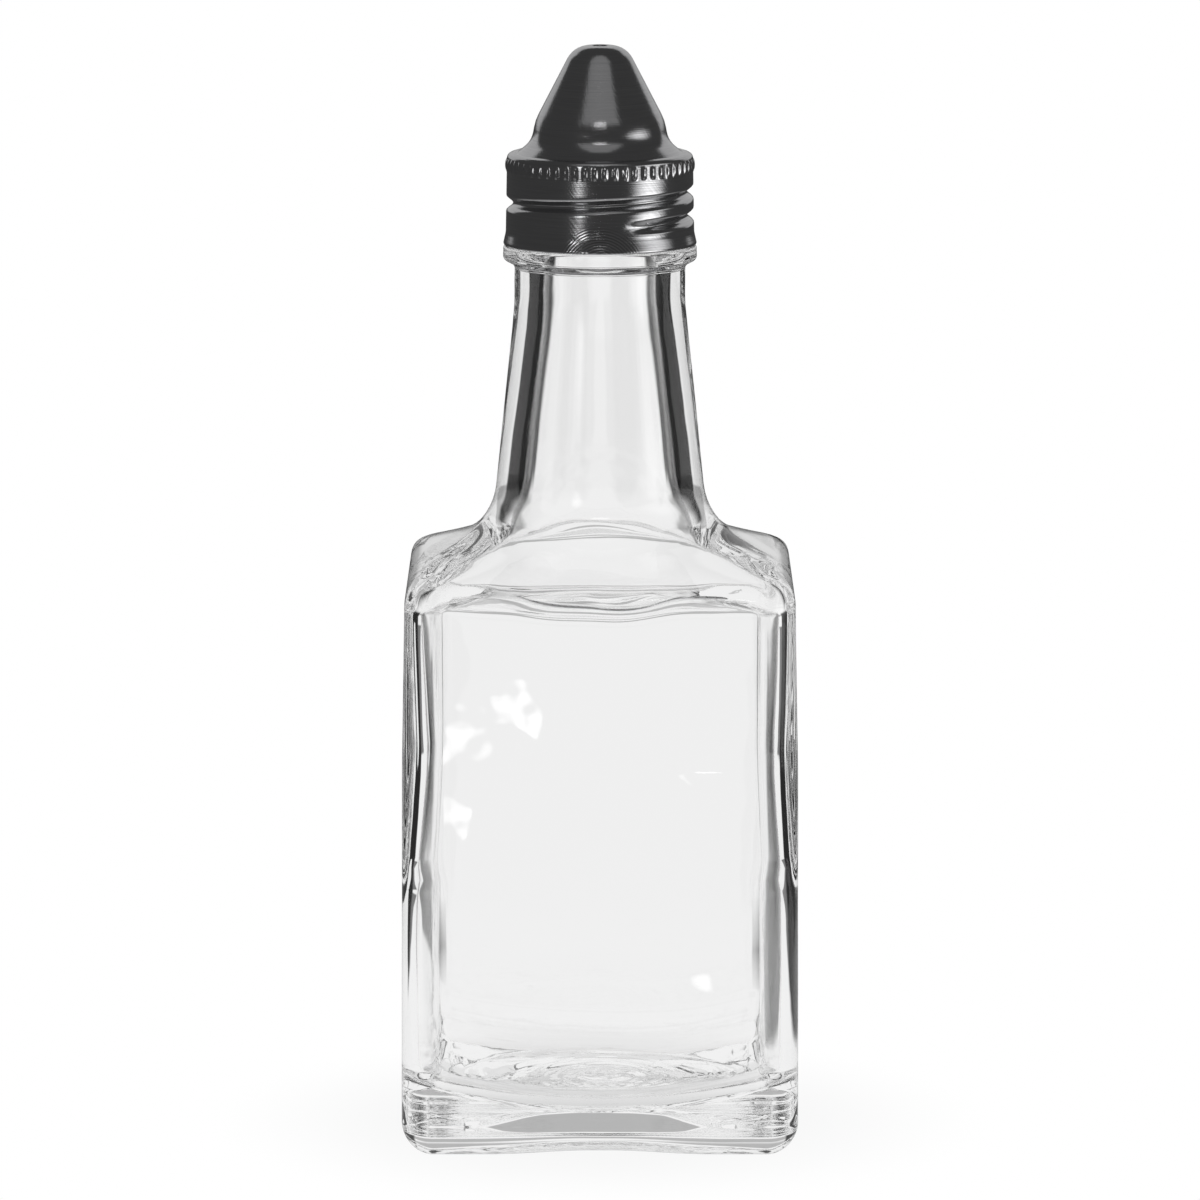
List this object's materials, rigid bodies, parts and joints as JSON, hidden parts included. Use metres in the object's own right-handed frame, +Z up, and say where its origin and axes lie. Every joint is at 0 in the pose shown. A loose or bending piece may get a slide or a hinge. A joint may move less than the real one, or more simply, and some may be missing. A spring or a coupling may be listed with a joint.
{
  "type": "oil and vinegar cruet",
  "caption": "Square clear glass table cruet with a tapered round neck and a screw-on steel cap, whose cone-shaped spout has a pour hole in its tip.",
  "frame": {"origin": "on the bottle's axis, in the plane that the base stands on", "axes": "+Z up along the axis towards the pour hole; the four flat faces of the body look along X and Y"},
  "size_m": [0.057, 0.057, 0.1589],
  "materials": {
    "glass": "clear, polished, slightly wavy",
    "steel": "spun stainless, polished, with fine turning marks",
    "gasket": "matte, off-white"
  },
  "bodies": {
    "bottle": {"bottle": "glass"},
    "seal": {"cap_gasket": "gasket"},
    "cap": {"pour_cap": "steel"}
  },
  "joints": [
    {"name": "cap_lift", "type": "slide", "parent": "bottle", "child": "seal", "axis": [0, 0, 1], "range_m": [0, 0.01191]},
    {"name": "cap_turn", "type": "hinge", "parent": "seal", "child": "cap", "pos_m": [0, 0, 0.136], "axis": [0, 0, 1], "range_deg": [0, 1260]}
  ],
  "couplings": [
    {"joint": "cap_lift", "follows": "cap_turn", "m_per_rad": 0.00054113}
  ]
}
